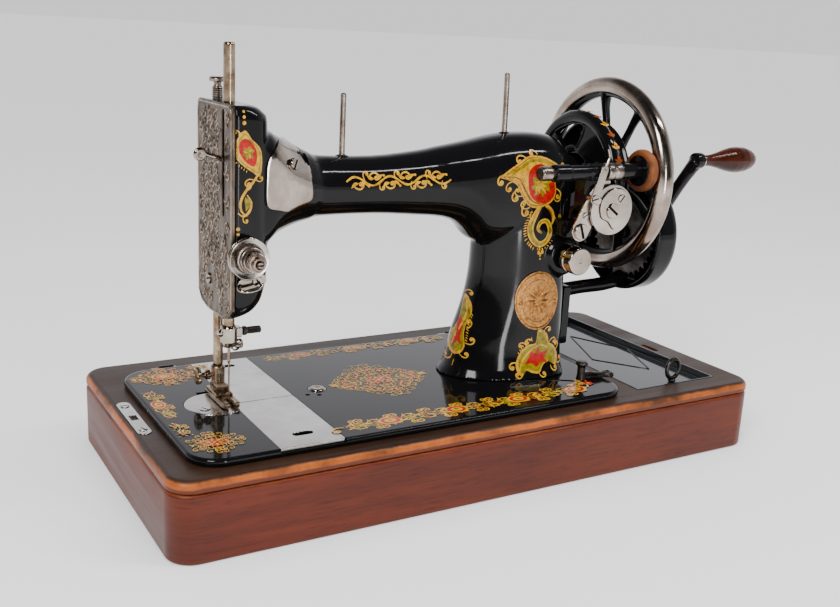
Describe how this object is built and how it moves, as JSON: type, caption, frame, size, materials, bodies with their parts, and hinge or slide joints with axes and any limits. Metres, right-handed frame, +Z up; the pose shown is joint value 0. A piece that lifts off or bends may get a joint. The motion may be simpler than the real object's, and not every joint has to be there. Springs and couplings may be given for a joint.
{
  "type": "sewing machine",
  "caption": "Hand-cranked household sewing machine of black japanned cast iron on a wooden base, with vibrating shuttle, geared crank, bobbin winder and lidded accessory compartment.",
  "frame": {"origin": "middle of the base's underside", "axes": "+X from the needle to the crank, +Y to the back of the machine, +Z up"},
  "size_m": [0.4651, 0.211, 0.2795],
  "materials": {
    "mahogany": "red-brown satin polish, scuffed",
    "worn_top": "dark polish worn to bright wood along the edges",
    "pine": "bare softwood",
    "japan": "glossy black japanning with coloured scroll transfers",
    "nickel": "nickel plate, aged",
    "steel": "bright steel, slightly tarnished",
    "iron": "dark oiled iron",
    "brass": "stamped aged brass",
    "rubber": "old red-brown rubber",
    "handle_wood": "dark red varnish",
    "tin": "black painted tinplate, worn"
  },
  "bodies": {
    "base": {"base_frame": "mahogany", "base_board": "pine", "base_top_frame": "worn_top", "compartment_wall": "pine", "compartment_liner": "tin", "lock_plate": "nickel", "hinge_cup_left": "nickel", "hinge_cup_right": "nickel"},
    "head": {"bed_plate": "japan", "oil_button": "nickel", "needle_plate": "nickel", "arm_casting": "japan", "face_plate": "nickel", "neck_cover": "nickel", "badge": "brass", "spool_pin_left": "steel", "spool_pin_right": "steel", "tension_stud": "nickel", "tension_disc_rear": "nickel", "tension_disc_front": "nickel", "tension_spring": "steel", "thread_guard": "nickel", "belt_guard": "japan", "crank_bracket": "japan", "winder_bracket": "japan", "presser_spring": "steel"},
    "lid": {"compartment_lid": "tin"},
    "ring": {"lid_ring": "iron"},
    "catch": {"bed_catch": "iron"},
    "front_slide": {"slide_plate_front": "nickel"},
    "rear_slide": {"slide_plate_rear": "nickel"},
    "tension_adjuster": {"tension_nut": "nickel"},
    "stitch_control": {"stitch_knob": "nickel"},
    "needle_unit": {"needle_bar": "steel", "needle_clamp": "nickel", "needle": "steel"},
    "clamp_screw": {"needle_clamp_screw": "iron"},
    "take_up": {"take_up_lever": "nickel"},
    "shuttle_unit": {"shuttle_rocker": "iron", "shuttle": "steel", "bobbin": "steel"},
    "feed": {"feed_dog": "steel"},
    "presser_unit": {"presser_bar": "steel", "presser_foot": "steel"},
    "foot_fixing": {"foot_screw": "steel"},
    "pressure_adjuster": {"pressure_screw": "nickel"},
    "lifter": {"presser_lifter": "steel"},
    "wheel": {"handwheel": "nickel", "arm_shaft": "steel"},
    "clutch": {"clutch_nut": "nickel"},
    "crank": {"crank_arm": "japan", "crank_gear": "iron"},
    "pinion": {"drive_pinion": "iron"},
    "grip": {"crank_handle": "handle_wood"},
    "winder": {"winder_frame": "japan", "winder_plate": "nickel"},
    "spindle": {"winder_spindle": "steel", "winder_tyre": "rubber"},
    "cam": {"winder_cam": "nickel"},
    "guide": {"winder_guide": "nickel"}
  },
  "joints": [
    {"name": "head_tilt", "type": "hinge", "parent": "base", "child": "head", "pos_m": [-0.05, 0.0785, 0.0514], "axis": [-1, 0, 0], "range_deg": [0, 88]},
    {"name": "lid_open", "type": "hinge", "parent": "base", "child": "lid", "pos_m": [0.1968, 0, 0.0459], "axis": [0, 1, 0], "range_deg": [0, 42]},
    {"name": "ring_turn", "type": "hinge", "parent": "lid", "child": "ring", "pos_m": [0.162, -0.0794, 0.05], "axis": [0, 0, 1], "range_deg": [-90, 90]},
    {"name": "catch_turn", "type": "hinge", "parent": "head", "child": "catch", "pos_m": [0.088, -0.0635, 0.057], "axis": [0, 0, 1], "range_deg": [-75, 35]},
    {"name": "front_slide_open", "type": "slide", "parent": "head", "child": "front_slide", "axis": [0, -1, 0], "range_m": [0, 0.06]},
    {"name": "rear_slide_open", "type": "slide", "parent": "head", "child": "rear_slide", "axis": [0, -1, 0], "range_m": [-0.055, 0]},
    {"name": "tension_nut_turn", "type": "hinge", "parent": "head", "child": "tension_adjuster", "pos_m": [-0.158, -0.062, 0.158], "axis": [0, -1, 0], "range_deg": [-180, 180]},
    {"name": "stitch_knob_turn", "type": "hinge", "parent": "head", "child": "stitch_control", "pos_m": [0.079, -0.055, 0.1424], "axis": [0, -1, 0], "range_deg": [-180, 180]},
    {"name": "needle_bar_travel", "type": "slide", "parent": "head", "child": "needle_unit", "axis": [0, 0, 1], "range_m": [-0.028, 0.004]},
    {"name": "clamp_screw_turn", "type": "hinge", "parent": "needle_unit", "child": "clamp_screw", "pos_m": [-0.15, -0.017, 0.1044], "axis": [1, 0, 0], "range_deg": [0, 360]},
    {"name": "take_up_swing", "type": "hinge", "parent": "head", "child": "take_up", "pos_m": [-0.118, -0.028, 0.201], "axis": [0, 1, 0], "range_deg": [-30, 6]},
    {"name": "shuttle_swing", "type": "hinge", "parent": "head", "child": "shuttle_unit", "pos_m": [0.052, -0.012, 0.035], "axis": [0, 0, 1], "range_deg": [-13, 3]},
    {"name": "feed_travel", "type": "slide", "parent": "head", "child": "feed", "axis": [0, 1, 0], "range_m": [-0.0016, 0.0016]},
    {"name": "presser_lift", "type": "slide", "parent": "head", "child": "presser_unit", "axis": [0, 0, 1], "range_m": [0, 0.006], "deforming": ["presser_spring"]},
    {"name": "foot_screw_turn", "type": "hinge", "parent": "presser_unit", "child": "foot_fixing", "pos_m": [-0.165, 0.003, 0.071], "axis": [1, 0, 0], "range_deg": [0, 270]},
    {"name": "pressure_screw_turn", "type": "hinge", "parent": "head", "child": "pressure_adjuster", "pos_m": [-0.1585, 0.003, 0.24], "axis": [0, 0, 1], "range_deg": [-180, 180]},
    {"name": "lifter_swing", "type": "hinge", "parent": "head", "child": "lifter", "pos_m": [-0.1576, 0.015, 0.156], "axis": [0, -1, 0], "range_deg": [0, 90]},
    {"name": "wheel_spin", "type": "hinge", "parent": "head", "child": "wheel", "pos_m": [0.135, -0.012, 0.195], "axis": [1, 0, 0], "continuous": true},
    {"name": "clutch_nut_turn", "type": "hinge", "parent": "wheel", "child": "clutch", "pos_m": [0.149, -0.012, 0.195], "axis": [1, 0, 0], "range_deg": [0, 90]},
    {"name": "crank_spin", "type": "hinge", "parent": "head", "child": "crank", "pos_m": [0.17, -0.018, 0.151], "axis": [1, 0, 0], "continuous": true},
    {"name": "pinion_spin", "type": "hinge", "parent": "head", "child": "pinion", "pos_m": [0.16, -0.012, 0.195], "axis": [1, 0, 0], "continuous": true},
    {"name": "grip_spin", "type": "hinge", "parent": "crank", "child": "grip", "pos_m": [0.21, -0.057, 0.2095], "axis": [1, 0, 0], "continuous": true},
    {"name": "winder_swing", "type": "hinge", "parent": "head", "child": "winder", "pos_m": [0.08, -0.053, 0.164], "axis": [1, 0, 0], "range_deg": [0, 6]},
    {"name": "spindle_spin", "type": "hinge", "parent": "winder", "child": "spindle", "pos_m": [0.08, -0.066, 0.205], "axis": [1, 0, 0], "continuous": true},
    {"name": "cam_spin", "type": "hinge", "parent": "winder", "child": "cam", "pos_m": [0.096, -0.068, 0.1785], "axis": [0, 1, 0], "continuous": true},
    {"name": "guide_swing", "type": "hinge", "parent": "winder", "child": "guide", "pos_m": [0.077, -0.07, 0.188], "axis": [0, 1, 0], "range_deg": [-8, 8]}
  ],
  "couplings": [
    {"joint": "crank_spin", "follows": "wheel_spin", "ratio": -0.33333},
    {"joint": "pinion_spin", "follows": "wheel_spin", "ratio": 1},
    {"joint": "take_up_swing", "follows": "needle_bar_travel", "rad_per_m": 16},
    {"joint": "shuttle_swing", "follows": "needle_bar_travel", "rad_per_m": 7.5},
    {"joint": "feed_travel", "follows": "needle_bar_travel", "ratio": 0.05},
    {"joint": "lifter_swing", "follows": "presser_lift", "rad_per_m": 261.7},
    {"joint": "cam_spin", "follows": "spindle_spin", "ratio": -0.025}
  ]
}
